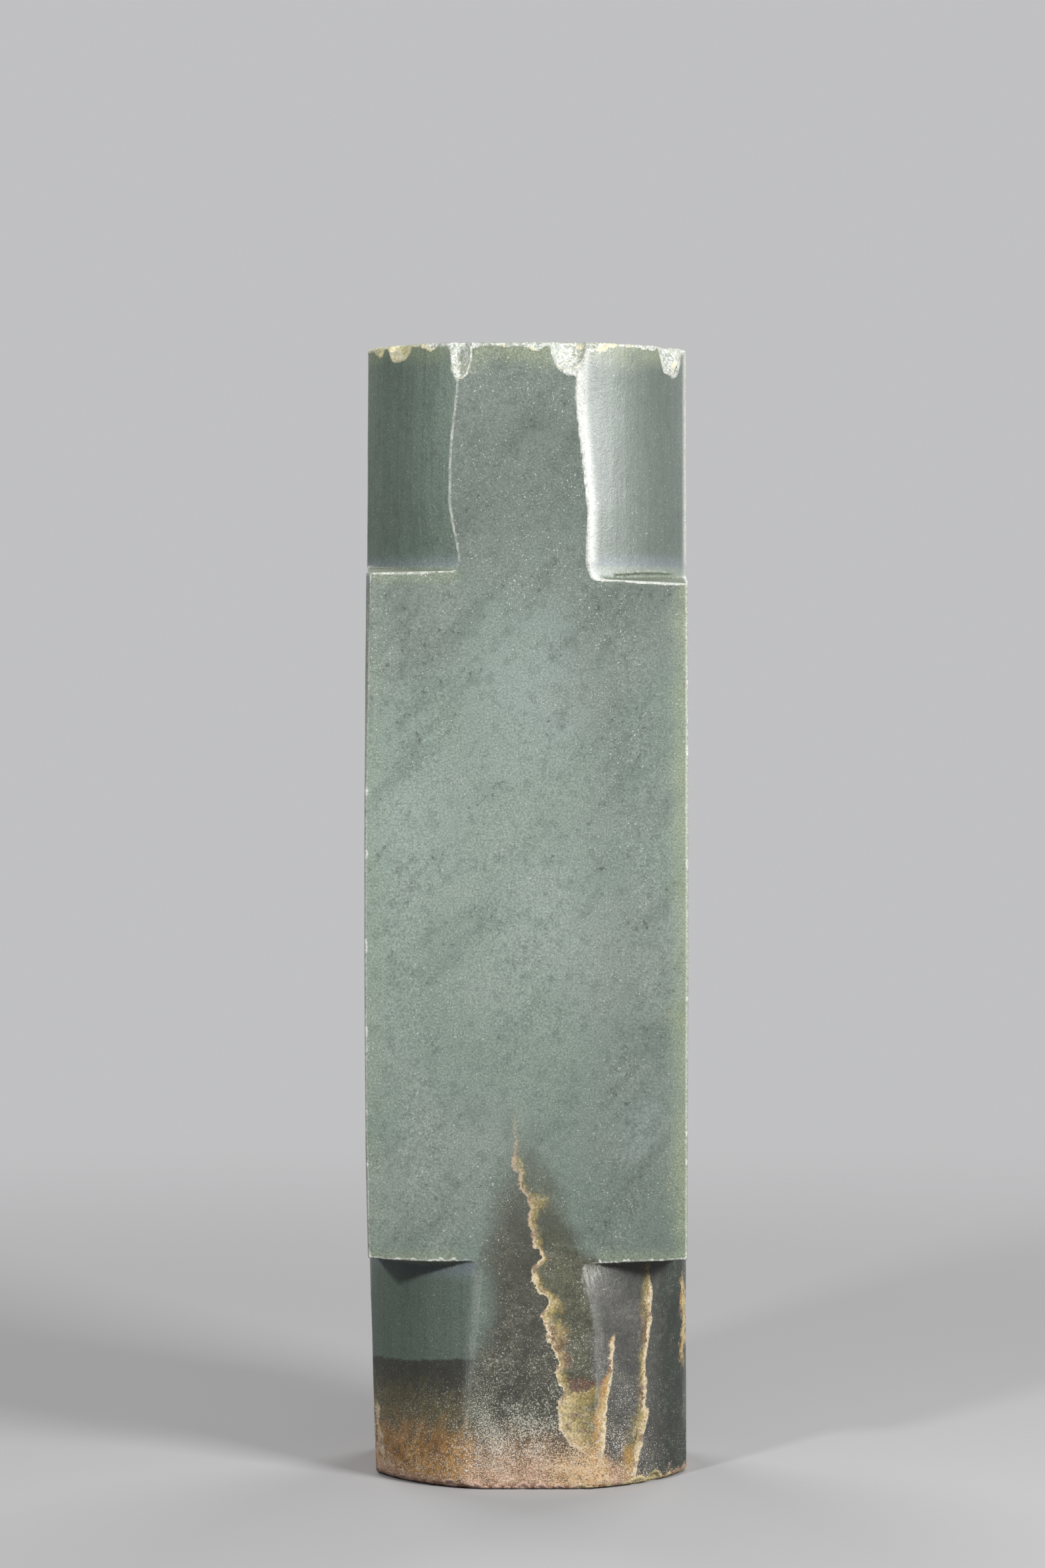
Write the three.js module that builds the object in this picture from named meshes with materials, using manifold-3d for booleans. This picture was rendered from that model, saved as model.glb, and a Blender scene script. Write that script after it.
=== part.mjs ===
// Jade cong: one block of stone, square outside and bored round inside, with its four corners ground
// to a round collar at each end. It stands on its foot. Millimetres, +Z up, the front face towards -Y,
// and the origin on the axis at the foot.
import * as THREE from 'three';
import { mergeVertices } from 'three/addons/utils/BufferGeometryUtils.js';
import Module from 'manifold-3d';

const wasm = await Module();
wasm.setup();

// The block.
const height = 200; // foot to rim
const faceWidth = 56.6; // across two opposite faces, at the rim
const swell = 0.5; // the block is fatter half way up than at its ends, each face by its share of this
const faceCrown = 0.45; // each face stands this much prouder in its middle than at its two edges
const edgeWear = 0.35; // radius of the four vertical edges
const headWear = 1.3; // radius that the front left edge has grown to at the upper ledge
const rimWear = 0.6; // radius of the outer edge of the rim and the foot
const leanHeight = 60; // the faces lean in or out from here down
const footLean = 1.3; // how far the left face leans in at the foot

// The collars, and the corners ground away round them.
const upperCollarHeight = 40;
const lowerCollarHeight = 40;
const collarRadius = 30.4;
const wallFlare = 0.25; // the wall runs out in a hollow curve where it meets the ledge
const flareHeight = 2.4;
const footWear = 1.7; // radius of the foot below the front left corner, the most worn
const ledgeMismatch = 0.8; // no two corners were sawn at quite the same height
const ledgeFall = 1.1; // a ledge falls away by this from the collar to the square corner
const ledgeTilt = 0.9; // one end of a ledge stands above the other
const ledgeCrown = 1.2; // and its middle above both
const kerfHeight = 1; // the saw's overcut, a groove that opens in the middle of the collar's wall
const kerfDepth = 0.45;
const kerfSpanShare = 0.97; // it closes just short of the ledge's two ends

// The bore, drilled from both ends.
const boreMouthRadius = 20.4;
const boreWaistRadius = 18.8;
const boreMismatch = 0.7; // the two drillings miss each other by this where they meet
const boreMeetHeight = 104;
const drillOverlap = 1.5; // each drilling runs this far past the meeting plane
const mouthWear = 0.7; // radius of the bore's edge at each end
const ringDepth = 0.14; // rings that the grit left in the bore
const ringPitch = 13;

// Flakes lost from the rim and the foot.
const flakeWidth = 4.4;
const flakeDrop = 4.2; // how far a flake's scar runs down from the rim
const flakeBite = 1.2; // how far it goes in
const ballShare = 2.2; // the scooping ball's half thickness, as a share of the bite

const overrun = 3; // a cutter passes the stone by this

const halfWidth = faceWidth / 2;
const upperLedge = height - upperCollarHeight;

// Half the width of the flat strip that a face keeps between two corners. A collar that is narrower than
// the block is round all the way, and the strip is nothing.
const stripHalf = Math.sqrt(Math.max(collarRadius ** 2 - halfWidth ** 2, 0));
const ledgeSpan = (halfWidth - stripHalf) / Math.SQRT2; // from the middle of a ledge to either of its ends

// How finely the curves are cut.
const faceSteps = 6;
const edgeSteps = 4;
const bodyRings = 10;
const roundSteps = 72;
const boreSteps = 48;
const ledgeSteps = 5;
const flareSteps = 3;
const wallSteps = 4;
const rollShares = [0, 0.08, 0.29, 0.62, 1]; // the rings on a rolled edge, as shares of its radius

// The four faces in order round the block, each with its shares of swell and footLean.
const faces = [
  { normal: [0, -1], swellShare: 0.4, leanShare: 0.1 }, // front
  { normal: [1, 0], swellShare: 0.6, leanShare: -0.2 }, // right
  { normal: [0, 1], swellShare: 0.8, leanShare: 0.35 }, // back
  { normal: [-1, 0], swellShare: 1.1, leanShare: 1 }, // left
];

// The four corners at each end. Each wall was ground by hand, so its radius wanders: radiusShares gives
// it at even steps from the ledge to the free end, as shares of collarRadius. The others are shares of
// ledgeMismatch, ledgeFall, ledgeTilt, ledgeCrown, kerfHeight and footWear.
const upperCorners = [
  {
    side: [-1, -1], radiusShares: [1.005, 1.031, 1.017, 1.003],
    stepShare: 1.06, fallShare: 0.8, tiltShare: -1, crownShare: 0.1, kerfShare: 0.45, wearShare: 0.4,
  },
  {
    side: [1, -1], radiusShares: [0.994, 0.995, 0.975, 0.975],
    stepShare: -1, fallShare: 1, tiltShare: 0.45, crownShare: 0.1, kerfShare: 1, wearShare: 0.4,
  },
  {
    side: [1, 1], radiusShares: [0.998, 1.01, 0.998, 0.985],
    stepShare: -0.4, fallShare: 0.7, tiltShare: -0.5, crownShare: 0.6, kerfShare: 0.7, wearShare: 0.5,
  },
  {
    side: [-1, 1], radiusShares: [0.985, 1.003, 1, 0.985],
    stepShare: 0.6, fallShare: 0.9, tiltShare: 0.6, crownShare: 0.3, kerfShare: 0.9, wearShare: 0.4,
  },
];
const lowerCorners = [
  {
    side: [-1, -1], radiusShares: [0.966, 0.973, 0.986, 0.993],
    stepShare: 0, fallShare: 0.6, tiltShare: 0.1, crownShare: 1, kerfShare: 0.4, wearShare: 1,
  },
  {
    side: [1, -1], radiusShares: [0.987, 1.011, 1.008, 1.003],
    stepShare: -0.5, fallShare: 0.55, tiltShare: 0.2, crownShare: 0.1, kerfShare: 0.5, wearShare: 0.7,
  },
  {
    side: [1, 1], radiusShares: [0.994, 1.004, 0.992, 0.99],
    stepShare: 0.7, fallShare: 0.8, tiltShare: -0.6, crownShare: 0.4, kerfShare: 0.8, wearShare: 0.5,
  },
  {
    side: [-1, 1], radiusShares: [0.978, 0.995, 1, 0.99],
    stepShare: -0.9, fallShare: 0.5, tiltShare: 0.5, crownShare: 0.5, kerfShare: 1, wearShare: 0.8,
  },
];

// The largest flakes, each at its bearing in degrees round the axis, where the front face is at -90.
const rimFlakes = [
  { bearing: -138, widthShare: 1.3, dropShare: 0.7, biteShare: 0.8 },
  { bearing: -112.5, widthShare: 0.62, dropShare: 1.5, biteShare: 1 },
  { bearing: -75.7, widthShare: 1.2, dropShare: 1.35, biteShare: 0.9 },
  { bearing: -29.5, widthShare: 1.5, dropShare: 1.25, biteShare: 1.1 },
  { bearing: 22, widthShare: 0.9, dropShare: 0.8, biteShare: 0.9 },
  { bearing: 96, widthShare: 1.3, dropShare: 0.9, biteShare: 0.8 },
  { bearing: 158, widthShare: 0.8, dropShare: 0.7, biteShare: 0.8 },
];
const footFlakes = [
  { bearing: -42, widthShare: 1.1, dropShare: 0.45, biteShare: 0.7 },
  { bearing: 63, widthShare: 1.2, dropShare: 0.7, biteShare: 0.9 },
  { bearing: -168, widthShare: 0.8, dropShare: 0.5, biteShare: 0.7 },
];

// A closed geometry as a solid that can be cut and joined.
function solidFrom(geometry) {
  const bare = geometry.clone();
  bare.deleteAttribute('normal');
  bare.deleteAttribute('uv');
  const merged = mergeVertices(bare);
  return new wasm.Manifold(
    new wasm.Mesh({
      numProp: 3,
      vertProperties: new Float32Array(merged.attributes.position.array),
      triVerts: new Uint32Array(merged.index.array),
    }),
  );
}

function geometryFrom(solid) {
  const mesh = solid.getMesh();
  const geometry = new THREE.BufferGeometry();
  geometry.setAttribute('position', new THREE.BufferAttribute(mesh.vertProperties, 3));
  geometry.setIndex(new THREE.BufferAttribute(mesh.triVerts, 1));
  geometry.computeVertexNormals();
  return geometry;
}

// A body of revolution about Z, from a profile of [radius, height] pairs that starts and ends on the axis.
function turned(profile, steps) {
  const points = profile.map(([radius, z]) => new THREE.Vector2(radius, z));
  return new THREE.LatheGeometry(points, steps).rotateX(Math.PI / 2);
}

// A solid skinned over rings of points that run anticlockwise, from the lowest ring to the highest.
function lofted(rings) {
  const count = rings[0].length;
  const positions = rings.flat().flatMap((point) => point.toArray());
  const triangles = [];
  for (let ring = 0; ring + 1 < rings.length; ring++) {
    for (let i = 0; i < count; i++) {
      const next = (i + 1) % count;
      const [a, b] = [ring * count + i, ring * count + next];
      triangles.push(a, b, b + count, a, b + count, a + count);
    }
  }
  for (const [start, flip] of [[0, true], [(rings.length - 1) * count, false]]) {
    for (let i = 1; i + 1 < count; i++) {
      triangles.push(start, ...(flip ? [start + i + 1, start + i] : [start + i, start + i + 1]));
    }
  }
  const geometry = new THREE.BufferGeometry();
  geometry.setAttribute('position', new THREE.Float32BufferAttribute(positions, 3));
  geometry.setIndex(triangles);
  return geometry;
}

// How far a rolled edge of this radius stands back at a height above the end.
function rollBack(radius, above) {
  return above >= radius ? 0 : radius - Math.sqrt(radius ** 2 - (radius - above) ** 2);
}

// A face's distance from the axis at a height.
function reachOf(face, z) {
  const bulge = face.swellShare * swell * Math.sin((Math.PI * z) / height) ** 2;
  const lean = z < leanHeight ? face.leanShare * footLean * (1 - z / leanHeight) ** 1.5 : 0;
  return halfWidth + bulge - lean - rollBack(rimWear, Math.min(z, height - z));
}

// The radius of a vertical edge at a height. Only the front left one is worn rounder towards its head.
function edgeRadius(index, z) {
  const climb = THREE.MathUtils.smoothstep(z, height / 2, upperLedge);
  return index === 3 ? THREE.MathUtils.lerp(edgeWear, headWear, climb) : edgeWear;
}

// One ring round the block: a crowned face and then a rounded edge, four times.
function blockRing(z) {
  const ring = [];
  faces.forEach((face, index) => {
    const before = faces[(index + 3) % 4];
    const after = faces[(index + 1) % 4];
    const out = new THREE.Vector2(...face.normal);
    const along = new THREE.Vector2(-out.y, out.x);
    const start = -(reachOf(before, z) - faceCrown - edgeRadius((index + 3) % 4, z));
    const end = reachOf(after, z) - faceCrown - edgeRadius(index, z);
    const place = (x, y) => {
      const point = out.clone().multiplyScalar(y).addScaledVector(along, x);
      ring.push(new THREE.Vector3(point.x, point.y, z));
    };
    for (let i = 0; i <= faceSteps; i++) {
      const share = i / faceSteps;
      const bow = faceCrown * (2 * share - 1) ** 2;
      place(THREE.MathUtils.lerp(start, end, share), reachOf(face, z) - bow);
    }
    const radius = edgeRadius(index, z);
    for (let i = 1; i < edgeSteps; i++) {
      const turn = (i / edgeSteps) * (Math.PI / 2);
      place(end + radius * Math.sin(turn), reachOf(face, z) - faceCrown - radius * (1 - Math.cos(turn)));
    }
  });
  return ring;
}

function block() {
  const roll = rollShares.map((share) => share * rimWear);
  const middle = [];
  for (let i = 1; i < bodyRings; i++) {
    middle.push(THREE.MathUtils.lerp(rimWear, height - rimWear, i / bodyRings));
  }
  const heights = [...roll, ...middle, ...roll.map((z) => height - z).reverse()];
  return solidFrom(lofted(heights.map(blockRing)));
}

// The radius of a corner's wall at a share of the way from the ledge to the free end.
function wallRadius(corner, share) {
  const points = corner.radiusShares.map((radiusShare, i) => new THREE.Vector2(i, radiusShare));
  return collarRadius * new THREE.SplineCurve(points).getPoint(share).y;
}

// The collar's own round at one corner, as a profile that starts at the ledge and rises to the free end.
// A lower collar is made the same way and turned over by the caller.
function collarWall(corner, ledgeToEnd) {
  const wear = footWear * corner.wearShare;
  const radiusAt = (z) => wallRadius(corner, THREE.MathUtils.clamp(z / ledgeToEnd, 0, 1));
  const profile = [[0, -overrun], [radiusAt(0) + wallFlare, -overrun]];
  for (let i = 0; i < flareSteps; i++) {
    const share = i / flareSteps;
    profile.push([radiusAt(flareHeight * share) + wallFlare * (1 - share) ** 2, flareHeight * share]);
  }
  for (let i = 0; i < wallSteps; i++) {
    const z = THREE.MathUtils.lerp(flareHeight, ledgeToEnd - wear, i / wallSteps);
    profile.push([radiusAt(z), z]);
  }
  for (const share of [...rollShares].reverse()) {
    const above = wear * share;
    profile.push([radiusAt(ledgeToEnd - above) - rollBack(wear, above), ledgeToEnd - above]);
  }
  profile.push([radiusAt(ledgeToEnd) - wear, ledgeToEnd + overrun * 2]);
  profile.push([0, ledgeToEnd + overrun * 2]);
  return solidFrom(turned(profile, roundSteps));
}

// A slab over one corner, whose underside is the ledge: it falls towards the square corner, tilts and is
// crowned across. t runs out along the diagonal and s across it. thicknessAt gives the slab's thickness
// at a share of the way from the ledge's middle to its end.
function overCorner(corner, reach, thicknessAt) {
  const [sideX, sideY] = corner.side;
  const tEnds = (stripHalf + halfWidth) / Math.SQRT2; // where the ledge runs out on the two faces
  const tInner = tEnds - ledgeSpan / 2;
  const tOuter = tEnds + ledgeSpan + overrun;
  const box = new THREE.BoxGeometry(tOuter - tInner, 2 * reach, 1, ledgeSteps, ledgeSteps * 2, 1);
  const position = box.attributes.position;
  for (let i = 0; i < position.count; i++) {
    const t = position.getX(i) + (tInner + tOuter) / 2;
    const s = position.getY(i);
    const outward = (t - tEnds) / ledgeSpan;
    const across = s / ledgeSpan;
    const crown = ledgeCrown * corner.crownShare * (1 - across ** 2 - outward);
    const tilt = (ledgeTilt * corner.tiltShare * across) / 2;
    const ledge = crown + tilt - ledgeFall * corner.fallShare * outward;
    const lift = position.getZ(i) > 0 ? thicknessAt(across) : 0;
    const x = (t * sideX - s * sideY) / Math.SQRT2;
    const y = (t * sideY + s * sideX) / Math.SQRT2;
    position.setXYZ(i, x, y, ledge + lift);
  }
  return solidFrom(box);
}

// All that is ground away at one corner of a collar, standing on z 0 as its ledge.
function cornerWaste(corner, ledgeToEnd) {
  const main = overCorner(corner, ledgeSpan + overrun, () => ledgeToEnd + overrun);
  const wall = collarWall(corner, ledgeToEnd);

  const coreRadius = wallRadius(corner, 0) - kerfDepth;
  const coreTop = kerfHeight + overrun;
  const coreProfile = [[0, -overrun], [coreRadius, -overrun], [coreRadius, coreTop], [0, coreTop]];
  const roof = (across) => kerfHeight * corner.kerfShare * (1 - across ** 2);
  const kerf = overCorner(corner, ledgeSpan * kerfSpanShare, roof);
  return main.subtract(wall).add(kerf.subtract(solidFrom(turned(coreProfile, roundSteps))));
}

function upperWaste(corner) {
  const ledge = upperLedge + ledgeMismatch * corner.stepShare;
  return cornerWaste(corner, height - ledge).translate([0, 0, ledge]);
}

// The same, turned over about the front to back axis, so the corner's side is mirrored first.
function lowerWaste(corner) {
  const [sideX, sideY] = corner.side;
  const ledge = lowerCollarHeight + ledgeMismatch * corner.stepShare;
  const turnedOver = { ...corner, side: [-sideX, sideY] };
  return cornerWaste(turnedOver, ledge).rotate([0, 180, 0]).translate([0, 0, ledge]);
}

// One drilling, from a mouth at z 0 up to its far end, narrowing all the way and ringed by the grit.
function drilling(depth) {
  const rings = Math.round(depth / ringPitch);
  const profile = [[0, -overrun], [boreMouthRadius + mouthWear, -overrun]];
  for (const share of rollShares) {
    const z = mouthWear * share;
    profile.push([boreMouthRadius + rollBack(mouthWear, z), z]);
  }
  for (let i = 1; i <= rings * 2; i++) {
    const share = i / (rings * 2);
    const groove = i % 2 === 1 ? ringDepth : 0;
    const radius = THREE.MathUtils.lerp(boreMouthRadius, boreWaistRadius, share) + groove;
    profile.push([radius, THREE.MathUtils.lerp(mouthWear, depth, share)]);
  }
  profile.push([0, depth]);
  return solidFrom(turned(profile, boreSteps));
}

function bore() {
  const fromFoot = drilling(boreMeetHeight + drillOverlap);
  const fromRim = drilling(height - boreMeetHeight + drillOverlap)
    .rotate([180, 0, 0])
    .translate([boreMismatch, -boreMismatch / 2, height]);
  return fromFoot.add(fromRim);
}

// How far the outline at a collar's free end lies from the axis at a bearing in radians.
function outlineReach(bearing, corners) {
  const [x, y] = [Math.cos(bearing), Math.sin(bearing)];
  const corner = corners.find(({ side }) => side[0] * x >= 0 && side[1] * y >= 0);
  const round = wallRadius(corner, 1);
  return Math.min(round, halfWidth / Math.max(Math.abs(x), Math.abs(y)));
}

// A flake's scar: a shallow shell at the outer edge of the rim or the foot. The ball that scoops it out
// has its centre outside the stone, so the scar meets the stone at a low angle.
function flakeScar(flake, corners, endHeight) {
  const bearing = THREE.MathUtils.degToRad(flake.bearing);
  const bite = flakeBite * flake.biteShare;
  const reach = outlineReach(bearing, corners) + bite * (ballShare - 1);
  const spread = ballShare / Math.sqrt(2 * ballShare - 1); // the ball's size over the scar's
  const halfSpan = (flakeWidth * flake.widthShare * spread) / 2;
  const scoop = new THREE.IcosahedronGeometry(1, 2)
    .scale(bite * ballShare, halfSpan, flakeDrop * flake.dropShare * spread)
    .rotateZ(bearing)
    .translate(reach * Math.cos(bearing), reach * Math.sin(bearing), endHeight);
  return solidFrom(scoop);
}

function jadeCong() {
  let stone = block();
  for (const corner of upperCorners) {
    stone = stone.subtract(upperWaste(corner));
  }
  for (const corner of lowerCorners) {
    stone = stone.subtract(lowerWaste(corner));
  }
  stone = stone.subtract(bore());
  for (const flake of rimFlakes) {
    stone = stone.subtract(flakeScar(flake, upperCorners, height));
  }
  for (const flake of footFlakes) {
    stone = stone.subtract(flakeScar(flake, lowerCorners, 0));
  }
  return geometryFrom(stone);
}

const jade = new THREE.MeshStandardMaterial({ color: 0x83938a, roughness: 0.42, metalness: 0 });

const cong = new THREE.Group();
const stone = new THREE.Mesh(jadeCong(), jade);
stone.name = 'jade_block';
cong.add(stone);

export default cong;
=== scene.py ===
import math
import random

import bpy
import numpy as np
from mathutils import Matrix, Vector, bvhtree


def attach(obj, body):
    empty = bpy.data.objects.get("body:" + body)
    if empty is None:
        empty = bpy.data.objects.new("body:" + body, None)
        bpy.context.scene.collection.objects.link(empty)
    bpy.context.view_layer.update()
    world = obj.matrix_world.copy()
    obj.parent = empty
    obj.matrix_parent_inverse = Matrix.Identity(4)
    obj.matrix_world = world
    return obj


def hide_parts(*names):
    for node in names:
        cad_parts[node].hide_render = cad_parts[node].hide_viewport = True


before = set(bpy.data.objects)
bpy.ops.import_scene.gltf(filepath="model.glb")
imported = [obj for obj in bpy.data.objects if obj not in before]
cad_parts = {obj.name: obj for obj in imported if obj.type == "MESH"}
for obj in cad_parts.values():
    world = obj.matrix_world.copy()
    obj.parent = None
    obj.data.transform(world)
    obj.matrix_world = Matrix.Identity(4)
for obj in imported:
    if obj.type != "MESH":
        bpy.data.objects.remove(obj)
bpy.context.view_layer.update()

# A carved jade cong: the block that the frame holds, given its flakes, its worn edges and its stone.
mm = 0.001


# What stands round the object

studio = {
    "cameraPlace": (-0.0008, -0.8, 0.1456),
    "aimPlace": (-0.0008, -0.0283, 0.1233),
    "lens": 102,
    "floorRadius": 3.0,
    "floorSides": 96,
    "floorFade": (0.2, 0.6),  # the floor runs out into the background between these distances
    "floorColour": (0.50, 0.495, 0.50),
    "floorBounce": (0.05, 0.05, 0.052),  # how pale the floor is to the light that it sends up
    "backgroundColour": (0.53, 0.53, 0.54),
    "fillColour": (0.010, 0.011, 0.012),
    "lightsAim": (0, 0, 0.1),  # the middle of the block
}

# Soft lights: bearing round the block from the camera, to its right; height above the horizon; distance;
# width and height of the light; power.
lights = {
    "keyLeft": {"bearing": -31, "lift": 24, "distance": 0.65, "size": (0.06, 0.06), "power": 1.7},
    "keyRight": {"bearing": 44, "lift": 21, "distance": 0.65, "size": (0.20, 0.14), "power": 3.9},
    "front": {"bearing": 6, "lift": 52, "distance": 1.2, "size": (0.3, 0.3), "power": 0.7},
    "above": {"bearing": 0, "lift": 80, "distance": 1.2, "size": (0.6, 0.6), "power": 0.9},
    "behindRight": {"bearing": 152, "lift": 30, "distance": 1.4, "size": (0.6, 0.6), "power": 8},
    "behindLeft": {"bearing": 208, "lift": 30, "distance": 1.4, "size": (0.6, 0.6), "power": 8},
}


def selectOnly(piece):
    bpy.ops.object.select_all(action="DESELECT")
    piece.select_set(True)
    bpy.context.view_layer.objects.active = piece


def applyModifier(piece, kind, **settings):
    selectOnly(piece)
    modifier = piece.modifiers.new(kind.lower(), kind)
    for name, value in settings.items():
        setattr(modifier, name, value)
    bpy.ops.object.modifier_apply(modifier=modifier.name)


def makeCamera():
    aim = Vector(studio["aimPlace"]) - Vector(studio["cameraPlace"])
    turn = aim.to_track_quat("-Z", "Y").to_euler()
    bpy.ops.object.camera_add(location=studio["cameraPlace"], rotation=turn)
    camera = bpy.context.object
    camera.name = "camera"
    camera.data.lens = studio["lens"]
    bpy.context.scene.camera = camera
    bpy.context.scene.view_settings.view_transform = "Standard"


def makeLights():
    middle = Vector(studio["lightsAim"])
    for name, light in lights.items():
        bearing = math.radians(light["bearing"])
        lift = math.radians(light["lift"])
        level = math.cos(lift)
        away = Vector((math.sin(bearing) * level, -math.cos(bearing) * level, math.sin(lift)))
        place = middle + away * light["distance"]
        turn = away.to_track_quat("Z", "Y").to_euler()
        bpy.ops.object.light_add(type="AREA", location=place, rotation=turn)
        lamp = bpy.context.object
        lamp.name = name
        lamp.visible_camera = False
        lamp.data.shape = "RECTANGLE"
        lamp.data.size, lamp.data.size_y = light["size"]
        lamp.data.energy = light["power"]


# Small helpers for node trees: a value is a number, a colour or another node's output

def feed(tree, socket, value):
    if isinstance(value, bpy.types.NodeSocket):
        tree.links.new(value, socket)
    else:
        socket.default_value = value


def addNode(tree, kind, **settings):
    node = tree.nodes.new(kind)
    for name, value in settings.items():
        setattr(node, name, value)
    return node


def calc(tree, operation, first, second=0.0, third=0.0):
    node = addNode(tree, "ShaderNodeMath", operation=operation)
    for socket, value in zip(node.inputs, (first, second, third)):
        feed(tree, socket, value)
    return node.outputs[0]


def ramp(tree, value, start, end, low=0.0, high=1.0, way="SMOOTHSTEP"):  # low before start, high after end
    node = addNode(tree, "ShaderNodeMapRange", interpolation_type=way)
    for socket, number in zip(node.inputs, (value, start, end, low, high)):
        feed(tree, socket, number)
    return node.outputs[0]


def blend(tree, share, first, second, way="MIX"):  # two colours
    node = addNode(tree, "ShaderNodeMix", data_type="RGBA", blend_type=way)
    feed(tree, node.inputs[0], share)
    feed(tree, node.inputs[6], first)
    feed(tree, node.inputs[7], second)
    return node.outputs[2]


def stretched(tree, place, scale, turn=None):  # turned first, and then stretched
    if turn:
        node = addNode(tree, "ShaderNodeMapping")
        feed(tree, node.inputs["Vector"], place)
        feed(tree, node.inputs["Rotation"], [math.radians(angle) for angle in turn])
        place = node.outputs[0]
    node = addNode(tree, "ShaderNodeMapping")
    feed(tree, node.inputs["Vector"], place)
    feed(tree, node.inputs["Scale"], scale)
    return node.outputs[0]


def noise(tree, place, scale, detail=2.0, rough=0.5):  # scale is in waves to a millimetre
    node = addNode(tree, "ShaderNodeTexNoise")
    feed(tree, node.inputs["Vector"], place)
    feed(tree, node.inputs["Scale"], scale)
    feed(tree, node.inputs["Detail"], detail)
    feed(tree, node.inputs["Roughness"], rough)
    return node.outputs[0]


def centred(tree, value, reach):  # noise as a swing of about reach either way
    return calc(tree, "MULTIPLY_ADD", value, reach * 2, -reach)


def curve(tree, value, points, domain, span=(0, 1), way="AUTO_CLAMPED"):
    # the points are pairs in the units of domain and span
    node = addNode(tree, "ShaderNodeFloatCurve")
    drawn = node.mapping.curves[0]
    shares = []
    for along, height in sorted(points):
        share = (along - domain[0]) / (domain[1] - domain[0])
        shares.append((share, (height - span[0]) / (span[1] - span[0])))
    while len(drawn.points) < len(shares):
        drawn.points.new(0.5, 0.5)
    for point, share in zip(drawn.points, shares):
        point.location = share
        point.handle_type = way
    node.mapping.extend = "HORIZONTAL"
    node.mapping.update()
    feed(tree, node.inputs["Value"], ramp(tree, value, *domain, way="LINEAR"))
    return calc(tree, "MULTIPLY_ADD", node.outputs[0], span[1] - span[0], span[0])


def shade(red, green, blue):  # a colour as a picture gives it, 0 to 255, as the light that it stands for
    values = [number / 255 for number in (red, green, blue)]
    return [v / 12.92 if v <= 0.04045 else ((v + 0.055) / 1.055) ** 2.4 for v in values] + [1]


def seenRays(tree):  # 1 for what the camera sees, straight or in a gloss
    rays = addNode(tree, "ShaderNodeLightPath").outputs
    seen = calc(tree, "MAXIMUM", rays["Is Camera Ray"], rays["Is Transmission Ray"])
    return calc(tree, "MAXIMUM", seen, rays["Is Glossy Ray"])


def makeFloor():
    bpy.ops.mesh.primitive_circle_add(
        vertices=studio["floorSides"], radius=studio["floorRadius"], fill_type="NGON")
    floor = bpy.context.object
    floor.name = "floor"
    material = bpy.data.materials.new("paleFloor")
    material.use_nodes = True
    tree = material.node_tree
    tree.nodes.clear()
    place = addNode(tree, "ShaderNodeTexCoord").outputs["Object"]
    away = addNode(tree, "ShaderNodeVectorMath", operation="LENGTH")
    feed(tree, away.inputs[0], place)
    matt = addNode(tree, "ShaderNodeBsdfDiffuse")
    seen = seenRays(tree)
    colour = blend(tree, seen, [*studio["floorBounce"], 1], [*studio["floorColour"], 1])
    feed(tree, matt.inputs["Color"], colour)
    clear = addNode(tree, "ShaderNodeBsdfTransparent")
    fade = addNode(tree, "ShaderNodeMixShader")
    feed(tree, fade.inputs[0], ramp(tree, away.outputs["Value"], *studio["floorFade"]))
    feed(tree, fade.inputs[1], matt.outputs[0])
    feed(tree, fade.inputs[2], clear.outputs[0])
    output = addNode(tree, "ShaderNodeOutputMaterial")
    feed(tree, output.inputs[0], fade.outputs[0])
    floor.data.materials.append(material)


def makeBackground():
    world = bpy.data.worlds.new("room")
    bpy.context.scene.world = world
    world.use_nodes = True
    tree = world.node_tree
    tree.nodes.clear()
    seen = seenRays(tree)
    colour = blend(tree, seen, [*studio["fillColour"], 1], [*studio["backgroundColour"], 1])
    background = addNode(tree, "ShaderNodeBackground")
    feed(tree, background.inputs["Color"], colour)
    output = addNode(tree, "ShaderNodeOutputWorld")
    feed(tree, output.inputs[0], background.outputs[0])


# The stone's shape

carving = {
    "grid": 0.32 * mm,  # the mesh is rebuilt at this size
    "quickGrid": 0.7 * mm,
    "flakeGrid": 0.16 * mm,
    "mostTriangles": 190000,
    "weld": 0.001 * mm,
    "lumpHeight": 0.5,  # how ragged a flake is, as a share of its size
    "lumpWidth": 0.45,
    "swell": 0.10 * mm,  # how far the faces wander
    "swellWidth": 11 * mm,
    "seed": 11,
    "outside": 0.1,  # well clear of the walls
    "halfWidth": 28.3 * mm,
    "boreRadius": 21.0 * mm,
    "collarHeight": 40 * mm,
    "height": 200 * mm,
}

wear = {
    "sharpFrom": 0.12,  # edges that bend faster than this, in turns to a millimetre, are worn pale
    "sharpSpan": 0.5,
    "scarReach": 0.5 * mm,
    "scarFill": 2,  # the higher, the more of the reach counts as scar in full
    "flakeDepth": 10 * mm,  # scars are looked for this near to an end
    "scarOnEdge": 0.2,  # and wherever an edge is worn more than this
    "wallOutside": 26 * mm,  # a ground wall lies farther out than this
    "wallPastLedge": 2 * mm,
    "wallSquareOn": 0.95,  # and doesn't face as squarely as this
    "wallUpright": 0.5,
    "shortest": 1e-7,
    "busyBend": 12,
    "busyScar": 0.02,
    "busyRings": 2,
    "flatBelow": 0.1,
}

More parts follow.
